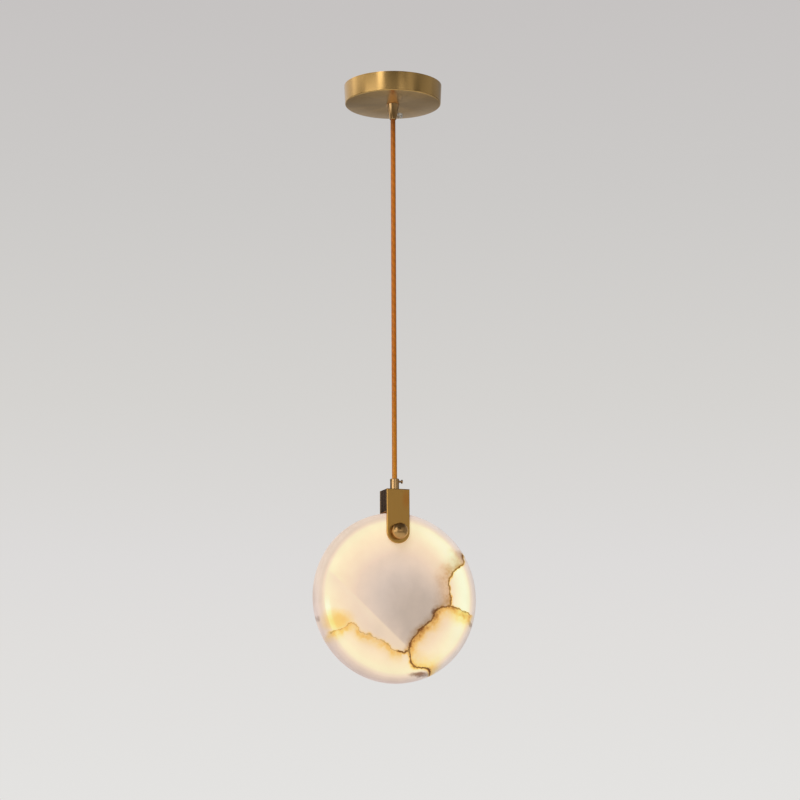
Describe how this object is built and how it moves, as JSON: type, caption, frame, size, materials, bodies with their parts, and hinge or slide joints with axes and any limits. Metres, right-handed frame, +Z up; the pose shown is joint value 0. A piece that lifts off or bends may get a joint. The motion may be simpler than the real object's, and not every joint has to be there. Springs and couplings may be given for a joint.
{
  "type": "pendant_light",
  "caption": "Alabaster disc pendant light: a lit stone disc held by a brass fork on one amber cord below a brass canopy.",
  "frame": {"origin": "centre of the ceiling plate's top face, which lies on the ceiling", "axes": "+Z up, the disc's front face looks along -Y, +X to the right seen from the front"},
  "size_m": [0.199, 0.1184, 0.7222],
  "materials": {
    "satin_brass": "satin",
    "polished_brass": "gloss",
    "zinc_steel": "satin",
    "amber_cord": "gloss",
    "clear_nylon": "satin",
    "white_plastic": "matte",
    "lead_plastic": "satin",
    "alabaster": "polished",
    "aluminium": "satin",
    "led_board": "matte",
    "led_chip": "satin"
  },
  "bodies": {
    "ceiling_assembly": {"ceiling_plate": "zinc_steel", "bridge_bracket": "zinc_steel", "bridge_screws": "zinc_steel", "canopy_nipple": "zinc_steel", "nipple_nuts": "zinc_steel", "canopy_cup": "satin_brass", "led_driver": "white_plastic", "terminal_block": "white_plastic", "terminal_screws": "zinc_steel", "plate_screws": "zinc_steel", "earth_screw": "polished_brass", "earth_lead": "lead_plastic", "input_leads": "lead_plastic", "cord_cores": "lead_plastic", "cord_tail": "amber_cord", "upper_cord_grip": "polished_brass"},
    "upper_set_screw": {"grip_set_screw": "clear_nylon"},
    "neck": {"cord_neck": "amber_cord"},
    "cord_run": {"cord": "amber_cord"},
    "fork": {"lower_cord_grip": "polished_brass", "lower_nipple": "zinc_steel", "fork_block": "satin_brass", "front_cheek": "satin_brass", "back_cheek": "satin_brass", "cheek_dowels": "zinc_steel", "bolt_stud": "zinc_steel", "stone_pads": "clear_nylon", "fork_lead": "lead_plastic"},
    "ferrule_thumb_screw": {"thumb_screw": "polished_brass"},
    "knob_front": {"front_knob": "polished_brass"},
    "knob_back": {"back_knob": "polished_brass"},
    "disc": {"front_stone": "alabaster", "back_stone": "alabaster", "bolt_sleeve": "polished_brass", "led_channel": "aluminium", "led_strip": "led_board", "led_chips": "led_chip", "disc_lead": "lead_plastic"}
  },
  "joints": [
    {"name": "upper_screw_turn", "type": "hinge", "parent": "ceiling_assembly", "child": "upper_set_screw", "pos_m": [0.009, 0, -0.0357], "axis": [1, 0, 0], "continuous": true},
    {"name": "swing_fore_aft", "type": "hinge", "parent": "ceiling_assembly", "child": "neck", "pos_m": [0, 0, -0.042], "axis": [1, 0, 0], "range_deg": [-15, 15]},
    {"name": "swing_sideways", "type": "hinge", "parent": "neck", "child": "cord_run", "pos_m": [0, 0, -0.042], "axis": [0, 1, 0], "range_deg": [-15, 15]},
    {"name": "fork_swivel", "type": "hinge", "parent": "cord_run", "child": "fork", "pos_m": [0, 0, -0.4845], "axis": [0, 0, 1], "range_deg": [-170, 170]},
    {"name": "thumb_screw_turn", "type": "hinge", "parent": "fork", "child": "ferrule_thumb_screw", "pos_m": [0.0075, 0, -0.4854], "axis": [1, 0, 0], "continuous": true},
    {"name": "front_knob_turn", "type": "hinge", "parent": "fork", "child": "knob_front", "pos_m": [0, -0.017, -0.546], "axis": [0, 1, 0], "continuous": true},
    {"name": "back_knob_turn", "type": "hinge", "parent": "fork", "child": "knob_back", "pos_m": [0, 0.017, -0.546], "axis": [0, 1, 0], "continuous": true},
    {"name": "disc_pivot", "type": "hinge", "parent": "fork", "child": "disc", "pos_m": [0, 0, -0.546], "axis": [0, 1, 0], "range_deg": [-7, 7]}
  ]
}
